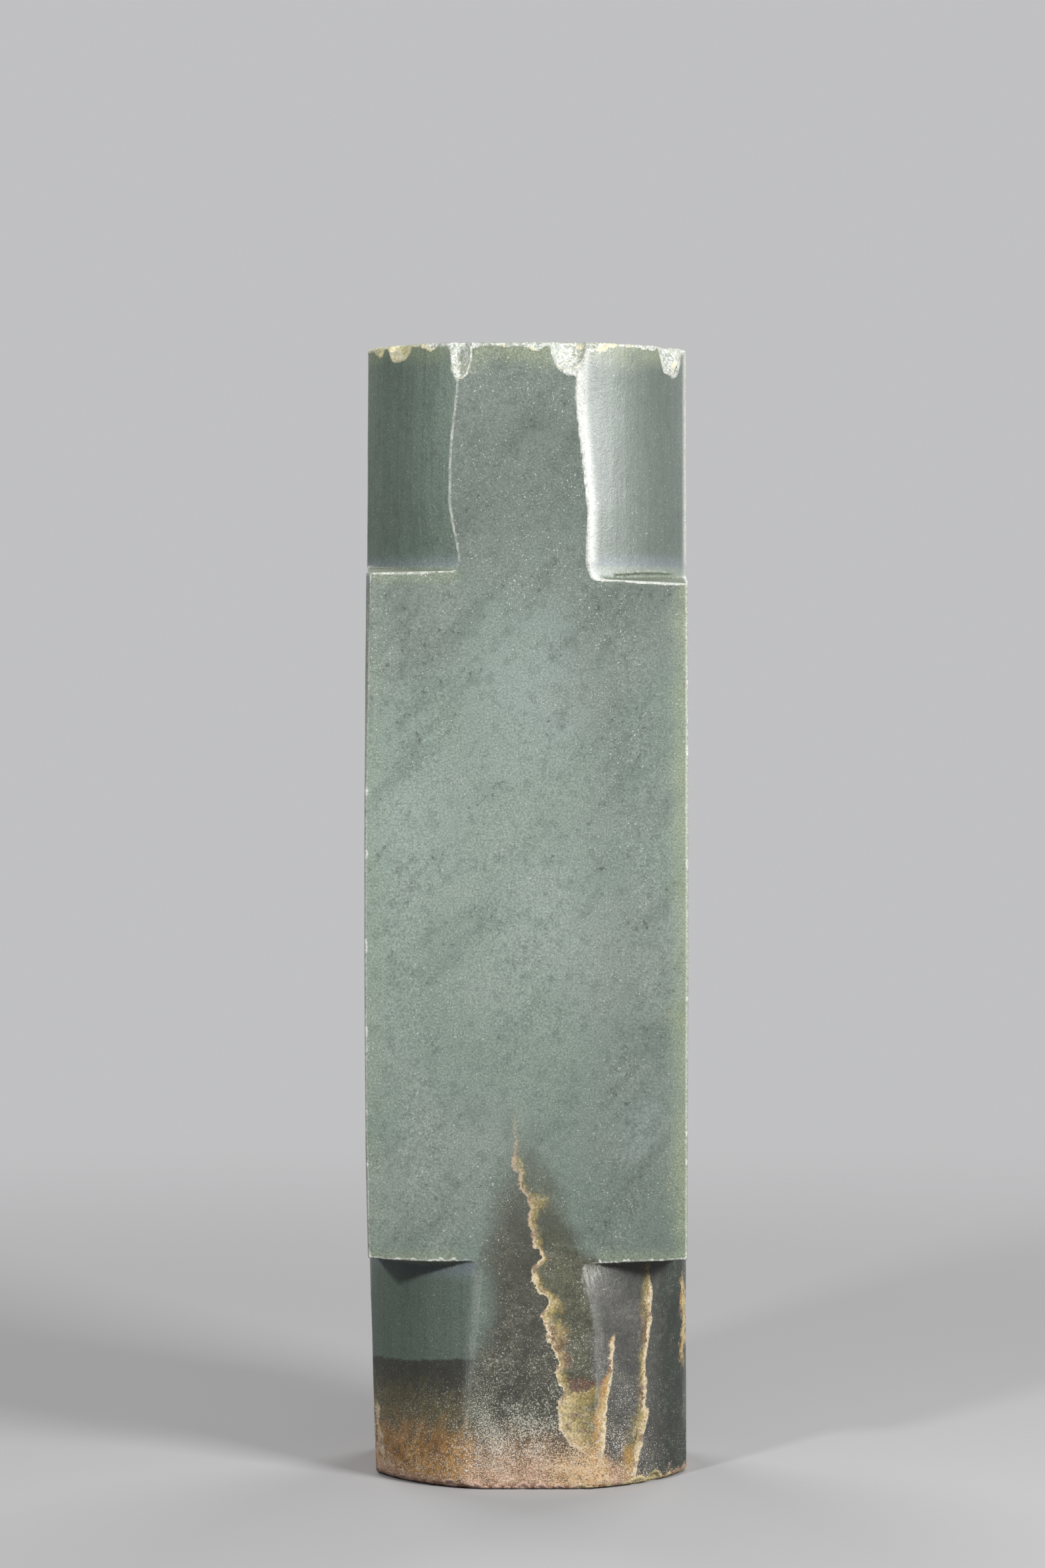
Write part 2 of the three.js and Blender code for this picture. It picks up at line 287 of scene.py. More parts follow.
# The large flakes: bearing round the block in degrees, and width, drop from the end and bite in millimetres.
largeRimFlakes = [
    (-137.5, 4.6, 2.6, 0.8), (-112.5, 2.6, 5.8, 1.0), (-75.7, 5.0, 4.3, 0.9), (-31.5, 5.6, 4.4, 1.2),
    (22, 4.0, 3.4, 1.1), (96, 5.7, 3.8, 1.0), (158, 3.5, 2.9, 1.0),
]
largeFootFlakes = [(-42, 3.4, 1.5, 0.7), (-50, 4.0, 1.2, 0.7), (63, 5.3, 2.9, 1.1), (-168, 3.5, 2.1, 0.8)]

# Small flakes: how many, and how large the smallest and the largest are.
smallFlakes = {
    "rim": (190, 0.2 * mm, 1.2 * mm),
    "foot": (100, 0.3 * mm, 1.0 * mm),
    "boreMouth": (90, 0.3 * mm, 0.9 * mm),
    "edge": (22, 0.2 * mm, 0.5 * mm),
    "ledge": (9, 0.15 * mm, 0.4 * mm),
}

# How the flakes vary: as shares of a flake's size, unless a note says otherwise
chipping = {
    "largeFlake": (2.1, 0.62, 1.1),  # of its bite, width and drop
    "spacing": (-0.5, 0.5),  # of the step from one flake to the next
    "outerSmallness": 2.8,  # the higher, the more of the flakes are small
    "smallness": 2,
    "bite": (0.1, 0.5),
    "rise": (-0.3, 0.3),
    "width": (0.8, 1.9),
    "drop": (0.8, 1.5),
    "tip": (-0.4, 0.4),  # in radians
    "mouthWidth": (0.8, 1.8),
    "edgeOut": 0.1,
    "edgeDrop": (1, 3),
    "ledgePlace": (0.43, 0.98),  # of half the block's width
    "ledgeWidth": 1.3,
}


def wallReach(block, bearing, height):  # how far out the wall of the block lies
    away = Vector((math.cos(bearing), math.sin(bearing), 0))
    found = block.ray_cast(away * carving["outside"] + Vector((0, 0, height)), -away)
    return math.hypot(found[0].x, found[0].y)


def makeFlakeTool():
    bpy.ops.object.select_all(action="DESELECT")
    bpy.ops.mesh.primitive_ico_sphere_add(subdivisions=2, radius=1)
    tool = bpy.context.object
    lumps = bpy.data.textures.new("flakeLumps", "CLOUDS")
    lumps.noise_scale = carving["lumpWidth"]
    applyModifier(tool, "DISPLACE", texture=lumps, strength=carving["lumpHeight"], mid_level=0.5)
    return tool


def strike(tool, struck, place, size, bearing, tip=0.0):  # size is along the bearing, across it and up
    flake = tool.copy()
    flake.data = tool.data.copy()
    bpy.context.scene.collection.objects.link(flake)
    flake.location = place
    flake.scale = size
    flake.rotation_euler = (0, tip, bearing)
    struck.append(flake)


def strikeEnds(tool, struck, dice, block):
    top = carving["height"]
    nearEnd = {top: top - mm, 0: mm}
    biteShare, widthShare, dropShare = chipping["largeFlake"]
    for endHeight, flakes in ((top, largeRimFlakes), (0, largeFootFlakes)):
        for bearing, width, drop, bite in flakes:
            turn = math.radians(bearing)
            reach = wallReach(block, turn, nearEnd[endHeight]) + bite * mm
            place = (reach * math.cos(turn), reach * math.sin(turn), endHeight)
            size = (bite * mm * biteShare, width * mm * widthShare, drop * mm * dropShare)
            strike(tool, struck, place, size, turn)

    for name, endHeight in (("rim", top), ("foot", 0)):
        count, least, most = smallFlakes[name]
        for i in range(count):
            turn = 2 * math.pi * (i + dice.uniform(*chipping["spacing"])) / count
            size = least + (most - least) * dice.random() ** chipping["outerSmallness"]
            reach = wallReach(block, turn, nearEnd[endHeight]) + size * dice.uniform(*chipping["bite"])
            height = endHeight + dice.uniform(*chipping["rise"]) * size
            place = (reach * math.cos(turn), reach * math.sin(turn), height)
            across = size * dice.uniform(*chipping["width"])
            drop = size * dice.uniform(*chipping["drop"])
            strike(tool, struck, place, (size, across, drop), turn, dice.uniform(*chipping["tip"]))

    count, least, most = smallFlakes["boreMouth"]
    for endHeight in (0, top):
        for i in range(count):
            turn = 2 * math.pi * (i + dice.uniform(*chipping["spacing"])) / count
            size = least + (most - least) * dice.random() ** chipping["smallness"]
            reach = carving["boreRadius"] - size * dice.uniform(*chipping["bite"])
            place = (reach * math.cos(turn), reach * math.sin(turn), endHeight)
            across = size * dice.uniform(*chipping["mouthWidth"])
            strike(tool, struck, place, (size, across, size), turn)


def strikeEdges(tool, struck, dice):  # nicks down the four vertical edges and along the ledges
    half = carving["halfWidth"]
    low = carving["collarHeight"]
    top = carving["height"] - low
    for sideX, sideY in ((-1, -1), (1, -1), (1, 1), (-1, 1)):
        turn = math.atan2(sideY, sideX)
        count, least, most = smallFlakes["edge"]
        for _ in range(count):
            size = least + (most - least) * dice.random() ** chipping["smallness"]
            out = half + size * chipping["edgeOut"]
            place = (sideX * out, sideY * out, dice.uniform(low, top))
            strike(tool, struck, place, (size, size, size * dice.uniform(*chipping["edgeDrop"])), turn)
        count, least, most = smallFlakes["ledge"]
        for ledge in (low, top):
            for i in range(count * 2):
                size = least + (most - least) * dice.random() ** chipping["smallness"]
                along = dice.uniform(*chipping["ledgePlace"]) * half
                onFace = (sideX * along, sideY * half) if i % 2 else (sideX * half, sideY * along)
                strike(tool, struck, (*onFace, ledge), (size, size * chipping["ledgeWidth"], size), turn)


def makeFlakes():  # all the flake tools, made one closed mesh
    dice = random.Random(carving["seed"])
    tool = makeFlakeTool()
    struck = []
    graph = bpy.context.evaluated_depsgraph_get()
    block = bvhtree.BVHTree.FromObject(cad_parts["jade_block"], graph)
    strikeEnds(tool, struck, dice, block)
    strikeEdges(tool, struck, dice)
    bpy.data.objects.remove(tool)
    selectOnly(struck[0])
    for flake in struck:
        flake.select_set(True)
    bpy.ops.object.transform_apply(location=True, rotation=True, scale=True)
    bpy.ops.object.join()
    flakes = bpy.context.object
    applyModifier(flakes, "REMESH", mode="VOXEL", voxel_size=carving["flakeGrid"])
    print("flakes:", len(struck), "in", len(flakes.data.polygons), "faces")
    return flakes


def makeStone(flakes):
    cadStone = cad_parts["jade_block"]
    stone = cadStone.copy()
    stone.data = cadStone.data.copy()
    stone.parent = None
    for key in list(stone.keys()):
        del stone[key]
    stone.name = "jade_block_carved"
    bpy.context.scene.collection.objects.link(stone)
    selectOnly(stone)
    bpy.ops.object.mode_set(mode="EDIT")
    bpy.ops.mesh.select_all(action="SELECT")
    bpy.ops.mesh.remove_doubles(threshold=carving["weld"])
    bpy.ops.object.mode_set(mode="OBJECT")

    applyModifier(stone, "BOOLEAN", operation="DIFFERENCE", object=flakes, solver="MANIFOLD")
    grid = carving["grid"]
    applyModifier(stone, "REMESH", mode="VOXEL", voxel_size=grid)
    swell = bpy.data.textures.new("handSwell", "CLOUDS")
    swell.noise_scale = carving["swellWidth"]
    applyModifier(
        stone, "DISPLACE", texture=swell, strength=carving["swell"], mid_level=1, texture_coords="LOCAL")
    stone.data.materials.clear()
    selectOnly(stone)
    bpy.ops.object.shade_smooth()
    print("stone rebuilt:", len(stone.data.polygons), "faces")
    return stone


def spread(values, starts, ends, links):  # each point takes the mean of itself and its neighbours
    total = values.copy()
    np.add.at(total, starts, values[ends])
    np.add.at(total, ends, values[starts])
    return total / (links + 1)


def markStone(stone, flakes):
    # each point keeps how sharp an edge it lies on, if it is in a flake's scar, and if on a ground wall
    mesh = stone.data
    count = len(mesh.vertices)
    places = np.empty(count * 3)
    normals = np.empty(count * 3)
    mesh.vertices.foreach_get("co", places)
    mesh.vertices.foreach_get("normal", normals)
    places = places.reshape(-1, 3)
    normals = normals.reshape(-1, 3)
    edges = np.empty(len(mesh.edges) * 2, int)
    mesh.edges.foreach_get("vertices", edges)
    starts, ends = edges.reshape(-1, 2).T
    links = np.bincount(edges, minlength=count)

    # how fast the surface falls away from a point's own plane, in turns to a millimetre
    along = places[ends] - places[starts]
    length = np.maximum(np.linalg.norm(along, axis=1), wear["shortest"])
    bend = np.zeros(count)
    for here, sign in ((starts, 1), (ends, -1)):
        drop = -sign * (normals[here] * along).sum(1) / length ** 2 * mm * 2
        bend += np.bincount(here, drop, count)
    bend = spread(bend / links, starts, ends, links)
    worn = np.clip((bend - wear["sharpFrom"]) / wear["sharpSpan"], 0, 1)

    height = places[:, 2]
    fromEnd = np.minimum(height, carving["height"] - height)
    flakeTree = bvhtree.BVHTree.FromObject(flakes, bpy.context.evaluated_depsgraph_get())
    scar = np.zeros(count)
    for i in np.flatnonzero((fromEnd < wear["flakeDepth"]) | (worn > wear["scarOnEdge"])):
        found = flakeTree.find_nearest(places[i], wear["scarReach"])
        if found[0] is not None:
            scar[i] = 1 - found[3] / wear["scarReach"]
    scar = np.clip(scar * wear["scarFill"], 0, 1)

    turned = np.abs(normals[:, :2]).max(1) < wear["wallSquareOn"]
    upright = np.abs(normals[:, 2]) < wear["wallUpright"]
    farOut = np.linalg.norm(places[:, :2], axis=1) > wear["wallOutside"]
    onCollar = fromEnd < carving["collarHeight"] + wear["wallPastLedge"]
    wall = (turned & upright & farOut & onCollar).astype(float)

    for name, values in (("wornEdge", worn), ("flakeScar", scar), ("groundWall", wall)):
        layer = mesh.attributes.new(name, "FLOAT", "POINT")
        layer.data.foreach_set("value", values.astype(np.float32))

    # what is flat and unmarked can be thinned; the rest keeps its fine mesh
    busy = np.maximum(np.clip(np.abs(bend) * wear["busyBend"] - 1, 0, 1), scar > wear["busyScar"])
    for _ in range(wear["busyRings"]):
        busy = spread(busy, starts, ends, links)
    isFlat = busy < wear["flatBelow"]
    flat = stone.vertex_groups.new(name="flat")
    flat.add(np.flatnonzero(isFlat).tolist(), 1, "REPLACE")
    print("marked:", int((worn > 0.5).sum()), "points on edges,", int((scar > 0.5).sum()), "in scars,",
          int((~isFlat).sum()), "kept of", count)


def thinStone(stone):
    mesh = stone.data
    triangles = len(mesh.polygons) * 2
    if triangles > carving["mostTriangles"]:
        share = carving["mostTriangles"] / triangles
        applyModifier(stone, "DECIMATE", ratio=share, vertex_group="flat")
    stone.vertex_groups.clear()
    print("stone thinned:", len(stone.data.polygons), "faces")


# The stone's looks, with its colours as a picture shows them. Lengths and places are in millimetres: x across
# the photographed face from its middle, y to the back, z up from the foot. Two or four numbers are a ramp:
# where it starts and ends, and what it gives there if that isn't 0 and 1. A list of pairs is a curve: places,
# and what it gives there.

# What the curves run over.
spans = {
    "share": (0, 1),
    "height": (0, 200),
    "foot": (0, 70),  # the stain and the veins end within this height
    "across": (-30, 30),
    "line": (-35, 35),
    "skin": (0, 20),
    "veinWidth": (0, 10),
}

# Noise through the stone: waves to a millimetre, detail, roughness.
noises = {
    "broad": (0.035, 3, 0.5),
    "middling": (0.16, 4, 0.6),
    "mottle": (0.45, 3, 0.6),
    "small": (0.9, 4, 0.65),
    "grain": (3.0, 2, 0.65),
    "peel": (2.6, 2, 0.5),
    "patches": (0.28, 2, 0.5),
    "bends": (0.3, 2, 0.5),
    "jags": (0.9, 3, 0.7),
    "speckle": (1.5, 3, 0.7),
}

# Noise drawn out one way: waves to a millimetre along x, y and z, its turn in degrees, detail, roughness.
drawnNoises = {
    "streaks": ((0.2, 0.05, 0.045), (0, -42, 0), 4, 0.6),
    "grinding": ((1.3, 1.3, 0.05), None, 3, 0.6),
    "scratches": ((3.2, 3.2, 0.35), (0, 14, 0), 2, 0.6),
    "runs": ((0.9, 0.9, 0.22), (0, -30, 0), 3, 0.6),
}

# The block's own measures, which the looks follow.
measures = {
    "middle": carving["height"] / mm / 2,
    "toLedge": (carving["height"] / 2 - carving["collarHeight"]) / mm,  # from the middle
    "halfWidth": carving["halfWidth"] / mm,
    "frontDepth": 12,  # the way to the back is counted from this far in front of the middle
    "crystals": 3.2,  # to a millimetre
    "arrisDepth": (1.0, 0.15),
    "arrisTurn": (0.998, 0.985),
    "endTurn": (0.7, 0.9),
    "polishHeight": (90, 120),
    "polishPlace": (-6, 6),
}

# The green stone: clouded, streaked and flecked, darker towards the foot and the rim, and with painted shade
# across the face, darker right of the middle.
jade = {
    "celadon": shade(132, 148, 136),
    "greyCeladon": shade(141, 153, 143),
    "bluishCloud": shade(153, 167, 163),
    "darkStreak": shade(104, 119, 109),
    "fleck": shade(66, 76, 68),
    "whiteSpeck": shade(232, 234, 226),
    "greyPatches": (0.38, 0.62),
    "clouds": [(1, 142, 16, 0.6), (19, 62.6, 7, 0.5), (-20, 120, 14, 0.3),
               (6, 100, 12, 0.25)],  # x, z, width, share
    "cloudFlatness": 0.75,
    "cloudRaggedness": 0.9,
    "streaks": (0.5, 0.68, 0, 0.5),
    "mottling": (0.5, 0.68, 0, 0.45),
    "flecks": (0.605, 0.675),
    "flecksInStreaks": (0.47, 0.58),
    "fleckShare": 0.65,
    "toneWander": 25,
    "toneByHeight": [(0, 0.74), (45, 0.78), (75, 0.91), (105, 1.0), (135, 0.9), (160, 0.69), (178, 0.54),
                     (200, 0.6)],
    # painted shade across the face: lighter at the far left, darker right of the middle
    "paintedShadeByPlace": [(-30, 1.08), (-18, 1.03), (4, 1.0), (17, 0.83), (23, 0.83), (27, 1.0), (30, 1.02)],
}

# The ground walls of the collars, with a painted pale bluish reflection on the wall beside the ledge.
walls = {
    "polished": shade(108, 125, 112),
    "streak": shade(94, 110, 98),
    # painted reflection of the light from above, pale bluish
    "paintedSheen": shade(142, 152, 162),
    "streaks": (0.4, 0.66, 0, 0.7),
    "mottling": (0.52, 0.7, 0, 0.3),
    "toneByHeight": [(0, 0.74), (40, 0.76), (60, 1.0), (200, 1.04)],
    "darkerWherePolished": 0.42,
    "share": 0.95,
    "paintedSheenByLedge": (4.5, 0.5, 0, 0.5),
}

# The thin edges, the rim and the ledges, where the light comes through.
edges = {
    "olive": shade(146, 155, 124),
    "wander": 3,
    "sidewise": (23.5, 28.4),
    "byPlace": (-20, 20, 0.15, 0.65),
    "rimWander": 5,
    "rimHeight": (194.5, 199.8, 0, 0.6),
    "ledgeWander": 1.5,
    "ledgeFrom": (-3.0, -0.2, 0, 0.4),
    "ledgeTo": (1.6, 0.6),
    "ledgeSidewise": (11, 13),
}

# The stain that climbs the face in a wedge, and covers the right of the collar.
stain = {
    "leftEdge": [(0, -11.6), (22, -10.6), (23.5, -9.2), (27.7, -8.1), (33, -7.5), (38, -7.9), (44, -7.4),
                 (50, -5.9), (58, -3.6), (64, -2.7), (70, -2.4)],
    "rightEdge": [(0, 34), (36, 34), (39.2, 26), (40.4, 11.5), (44, 7.6), (46, 6.9), (50, 6.1), (55, 4.4),
                  (58, 1.9), (63, -0.6), (70, -2.4)],
    "leftSoftness": (-2.2, 3.8),
    "rightSoftness": (2.2, -2.6),
    "shareByHeight": [(0, 0.96), (38, 0.94), (46, 0.85), (54, 0.6), (60, 0.35), (66, 0)],
    "wander": 3.5,
    "fineWander": 1.4,
    "slant": 0.2,
    "greyBrown": shade(67, 65, 52),
    "oliveBrown": shade(77, 76, 54),
    "paleGrey": shade(92, 92, 80),
    "wallGrey": shade(80, 78, 74),
    "wallGreen": shade(43, 49, 41),
    "olivePastVein": (-1.0, 1.5),
    "wallGreyPlace": (10.5, 12.5),
    "wallGreenPlace": (21.5, 25),
    "mottling": (0.5, 0.7, 0, 0.55),
    "broadTone": (0.3, 0.7, 0.63, 1.2),
    "fineTone": (0.36, 0.64, 0.72, 1.28),
}

# A small facet under the right ledge: scratched, with a painted highlight on it.
highlightFacet = {
    "colour": shade(188, 188, 180),
    "left": (10, 10.8),
    "right": (15.5, 12),
    "bottom": (33.5, 37.5),
    "top": (39.9, 39.2),
    "front": (-15, -20),
    "scratches": (0.38, 0.6, 0.1, 0.75),
}

# On the left of the collar the colour turns dark below a level line, then olive and russet towards the foot.
band = {
    "line": 22.8,
    "lineWander": 0.7,
    "lineSoftness": 0.3,
    "slope": 0.11,
    "slopeFrom": -11,
    "rightEnd": (-8, -10.5),
    "runWander": 6,
    "fineWander": 4,
    "dark": shade(36, 38, 28),
    "olive": shade(90, 84, 56),
    "russet": shade(146, 104, 52),
    "golden": shade(190, 144, 76),
    "darkRusset": shade(70, 50, 34),
    "oliveHeight": (20, 13),
    "russetHeight": (13.5, 6),
    "goldenPatches": (0.42, 0.62, 0.2, 0.9),
    "goldenHeight": (12, 5),
    "goldenGrain": (0.3, 0.6, 0.5, 1),
    "goldenShare": 0.8,
    "darkRuns": (0.5, 0.68),
    "darkHeight": (13, 8, 0.2, 0.5),
    "tone": (0.36, 0.64, 0.65, 1.35),
    "lessSaltAbove": (15, 20, 0, -0.6),
}

# Pale grains in the stain, thicker towards the foot.
salt = {
    "colour": shade(204, 201, 186),
    "byHeight": [(0, 0.66), (8, 0.54), (14, 0.37), (18, 0.22), (24, 0.12), (34, 0.08), (60, 0.05),
                 (70, 0.03)],
    "byPlace": [(-30, 0.35), (-12, 0.5), (-8, 1), (5, 1), (12, 0.8), (20, 0.5), (24, 0.15), (30, 0.15)],
    "patches": (0.35, 0.65, 0.55, 1.45),
    "lessOnVeins": 0.7,
    "underSkin": (1.2, 0.1),
    "underSkinShare": 0.5,
    "onFoot": (0.4, 0.6, 0.55, 0.95),
    "whiteCrystals": (0.3, 0.7),
    "crustCrystals": (0.2, 0.5),
    "patchLeft": (2, 6),
    "patchRight": (16, 13),
    "heightWander": 6,
    "warmHeight": (14, 7),
    "perMillimetre": 4.2,
    "shareByHeight": (40, 15, 0.42, 0.76),
}

# The weathered skin at the foot.
skin = {
    # how high the thin skin reaches, and the thick crust
    "topByPlace": [(-30, 6), (-24, 4), (-13, 4.5), (-11, 12), (-6, 16), (0, 17), (8, 14), (13, 11), (17, 6),
                   (20, 3), (30, 2)],
    "footTopByPlace": [(-30, 8), (-26, 6.5), (-23.5, 4.5), (-19, 2.2), (-13, 1.8), (-10, 3), (-4, 4.5),
                       (4, 6), (8, 8), (12, 7), (15, 4), (18, 1.5), (30, 0.8)],
    "slant": 0.3,
    "wander": 3,
    "cream": shade(236, 214, 184),
    "pink": shade(222, 186, 166),
    "apricot": shade(240, 204, 154),
    "white": shade(240, 236, 226),
    "brown": shade(174, 134, 98),
    "footLine": shade(126, 78, 56),
    "footSoftness": (1.5, 0.5),
    "underSoftness": (1, 0.2),
    "underShare": 0.6,
    "brownTone": (0.36, 0.64, 0.6, 1.3),
    "brownSoftness": (0.8, 0.1),
    "brownShare": 0.8,
    "lineHeight": (1.3, 0.4),
    "lineRightEnd": (16, 10),
    "lineShare": 0.7,
}

# Crystals: how much of the surface they cover, how many grains to a millimetre, how strongly they show.
grains = {
    "startByShare": [(0, 0.85), (0.02, 0.7), (0.1, 0.635), (0.3, 0.565), (0.5, 0.51), (0.8, 0.44), (1, 0.35)],
    "startSpan": (0.3, 0.9),
    "detail": 2,
    "roughness": 0.6,
    "softness": (-0.02, 0.04),
    "patches": (0.35, 0.65, 0.4, 1.6),
    "dark": {"covers": 0.05, "perMillimetre": 3.6, "share": 0.38},
    "pale": {"covers": 0.12, "perMillimetre": 4.6, "share": 0.22, "lessOnWalls": 0.5},
    # white crystal specks, painted bright as glints
    "crystalGlints": {"covers": 0.035, "perMillimetre": 3.1, "share": 0.85, "lessOnWalls": 0.4},
    "toneSwing": 0.85,
    "toneLessOnWalls": 0.15,
}

# Flakes, granular inside.
scars = {
    "cream": shade(250, 242, 206),
    "yellow": shade(236, 227, 174),
    "foot": shade(232, 214, 160),
    "olive": shade(150, 158, 116),
    "grey": shade(204, 209, 203),
    "white": shade(246, 247, 242),
    "greyByPlace": [(-30, -0.1), (-19, -0.1), (-14, 0.2), (-9, 0.2), (-6, 0), (2, 0), (4.5, 0.2), (10, 0.2),
                    (13, 0), (20, 0), (22, 0.2), (30, 0.2)],
    "greySpan": (-0.2, 0.2),
    "inner": (0.49, 0.53),
    "outline": (1.0, 0.6),
    "outlineHeight": (197, 195.5),
    "outlineCream": 0.8,
    "granularInside": 0.7,
    "granularOutside": 0.2,
    "yellowPatches": (0.45, 0.41),
    "whiteCrystals": (0.6, 0.75),
    "oliveCrystals": (0.4, 0.25),
    "oliveShare": 0.6,
    "footPlace": (6, 12),
    "footHeight": (20, 10),
    "plainPastLedge": (22, 18),  # nicks nearer to the square part are the colour of worn edges
    "patchiness": (0.34, 0.5, 0.45, 0.95),
    "fullHeight": (12, 6, 0, 0.85),
    "deep": (0.8, 1, 0, 0.8),
    "deepHeight": (199.1, 198.2),
    "outer": (0.2, 0.6),
}

# Worn edges, painted pale, with a painted highlight along the strip edges and on the rounded arris beside
# them, brightest at the upper right.
worn = {
    # pale with wear; on the strip edges and the arris the same colour is a painted highlight
    "colour": shade(220, 222, 214),
    "stripSidewise": (16, 14),
    "stripPastLedge": (0, 2),
    "stripBend": (0.35, 1),
    # painted highlight on the strip edges: stronger high up and on the right, and wider on the right
    "highlightHeight": (90, 150, 0.15, 1),
    "highlightPlace": (-6, 6, 0.6, 1),
    "rightPlace": (4, 6),
    "leftBend": (0.1, 0.4),
    "rightBend": (0.01, 0.12),
    # painted highlight on the arris of the upper right wall, and a fainter one on the lower collars
    "highlightBandHeight": (90, 120),
    "highlightBandPlace": (-6, 6),
    "greyHeight": (60, 40, 0, 0.14),
    "patches": (0.35, 0.6, 0.35, 0.9),
    "arrisPatches": (0.35, 0.6, 0.8, 1),
    "inScars": (0.1, 0.6, 1, 0.25),
    "aboveFoot": (6, 12),
    "ledgeFrom": (-0.8, 0),
    "ledgeTo": (2.5, 1.5),
    "lessOnLedge": 0.4,
    "uprightPastLedge": (-1, -3),
    "uprightSidewise": (26, 27.5),
    "lessOnUprights": 0.45,
}

# The veins. The crisp edge lies on the line, and the body beside it on the side given, with its widths by
# height. A slant leads the vein off through the stone towards the back.
veins = {
    "main": {
        "line": [(0, 14), (5, 12.5), (6.2, 10.1), (8.5, 6.9), (10.9, 5.7), (14.5, 4.9), (16.9, 6.1),
                 (20.1, 5.3), (22.9, 4.9), (24.9, 3.7), (27.7, 4.1), (30.5, 2.9), (32.9, 3.7), (35.3, 2.1),
                 (38.1, 1.3), (40.9, 2.3), (42.8, 1.1), (44.8, 1.7), (46.4, 0.5), (48.4, 0.1), (51.2, 0.5),
                 (53.2, -1.5), (58, -2.1), (63, -2.6), (70, -3)],
        "width": [(0, 1), (5, 3), (7, 5.4), (10, 7.4), (14, 8.2), (16.0, 8), (17.4, 2.6), (19, 2.0),
                  (22, 2.2), (24, 3.0), (31, 3.0), (34, 2.0), (38, 1.3), (43, 1.2), (46, 1.7), (50, 3.0),
                  (52, 2.2), (54, 1.1), (60, 0.7), (66, 0.6), (70, 0.3)],
        "side": 1, "foot": (-2, -1), "top": (69, 55), "slant": 0.3, "edge": "cream", "body": "yellow",
    },
    "fork": {
        "line": [(0, 12.6), (5.8, 12.9), (8.1, 13.5), (12.1, 13.7), (15.7, 14.1), (17.7, 14.5), (20.5, 14.7),
                 (23.7, 15.1), (26.5, 15.5), (30, 16.2)],
        "width": [(0, 3), (6, 2.8), (10, 2.4), (14, 1.9), (19, 1.3), (26, 0.6), (30, 0.4)],
        "side": -1, "foot": (-2, -1), "top": (27.5, 25.5), "slant": 0.2, "edge": "cream", "body": "orange",
    },
    "right": {
        "line": [(0, 18.6), (3, 19.3), (5, 19.7), (8.5, 20.5), (12.5, 21.3), (14, 20.8), (17.3, 20.9),
                 (22.1, 21.1), (24.5, 21.3), (27.7, 21.7), (30.5, 21.5), (34.1, 21.7), (38.1, 21.5)],
        "width": [(0, 3.4), (5, 3.4), (8, 3.2), (12, 2.8), (14, 1.7), (20, 1.5), (30, 1.7), (38, 1.3)],
        "side": -1, "foot": (-2, -1), "top": (39.6, 37.5), "slant": 0.12, "edge": "cream", "body": "yellow",
    },
    "farRight": {
        "line": [(18, 28.0), (22, 27.7), (27.7, 28.1), (33, 27.8), (38, 28.1)],
        "width": [(18, 0.3), (26, 0.7), (33, 0.5), (38, 0.3)],
        "side": -1, "foot": (18, 24), "top": (38, 34), "slant": 1.0, "edge": "pale", "body": "orange",
    },
    "leftFoot": {
        "line": [(4, -25.4), (6, -25.6), (10, -26.2), (14, -26.8)],
        "width": [(4, 0.8), (10, 0.5), (14, 0.3)],
        "side": -1, "foot": (3, 5), "top": (14, 12), "slant": 0.1, "edge": "cream", "body": "orange",
    },
}

veinColours = {
    "cream": shade(236, 216, 180),
    "pale": shade(212, 190, 136),
    "pinkBrown": shade(204, 180, 152),
    "yellow": shade(146, 130, 74),
    "orange": shade(190, 140, 74),
    "russet": shade(108, 72, 56),
    "olive": shade(104, 98, 60),
}

# A vein's body. What is a share is of its width.
veinBody = {
    "bends": 1.6,
    "jags": 0.9,
    "straighter": 0.5,  # the other veins wander less than the main one
    "heightWander": 3,
    "broadHeightWander": 5,
    "thinnest": 0.15,
    "raggedness": 0.8,
    "start": (-0.1, 0.3),
    "endShare": (1.3, 0.45),
    "paleShare": (0.1, 0.6),
    "oliveWander": 1.2,
    "oliveShare": (0.6, 1.0),
    "russetPatches": (0.53, 0.62, 0, 0.8),
    "creamGrain": (0.5, 0.66, 0, 0.5),
    "creamCrystals": (0.75, 0.95, 0, 0.35),
    "orangeHeight": (9, 4, 0, 0.6),
    "tone": (0.34, 0.66, 0.72, 1.28),
    "shareByHeight": (40, 58, 0.9, 0.5),
}

# Its crisp edge: a string of small pale crystals.
veinEdge = {
    "thickness": (0.35, 0.65, 0.25, 0.9),
    "wander": 0.6,
    "thinnest": 0.1,
    "thickerByHeight": (16, 8, 1, 1.6),
    "start": (-0.2, 0.05),
    "end": (1.2, 0.5),
    "gaps": (0.32, 0.5, 0.5, 1),
    "shareByHeight": (40, 50, 1, 0.75),
    "pinkHeight": (38, 46),
    "russetPatches": (0.52, 0.64, 0, 0.75),
}

# A dark border over the broad patch between the main vein and its fork.
veinBorder = {
    "broadWander": 4,
    "wander": 2,
    "top": (19.4, 18),
    "bottom": (16, 16.8),
    "left": (0.5, 2),
    "right": (8.5, 7.5),
    "share": 0.7,
}

# How dull the stone is, and what each of these adds to that.
gloss = {"base": 0.55, "swing": 0.08}
glossChanges = {"polish": -0.1, "paintedSheen": 0.15, "onEnd": 0.3, "stained": 0.05, "skin": 0.2, "flakeScar": 0.15,
                "glintingSpecks": -0.15}
sheen = {"Coat IOR": 1.78, "Coat Roughness": 0.57, "IOR": 1.61, "Specular IOR Level": 0.5}

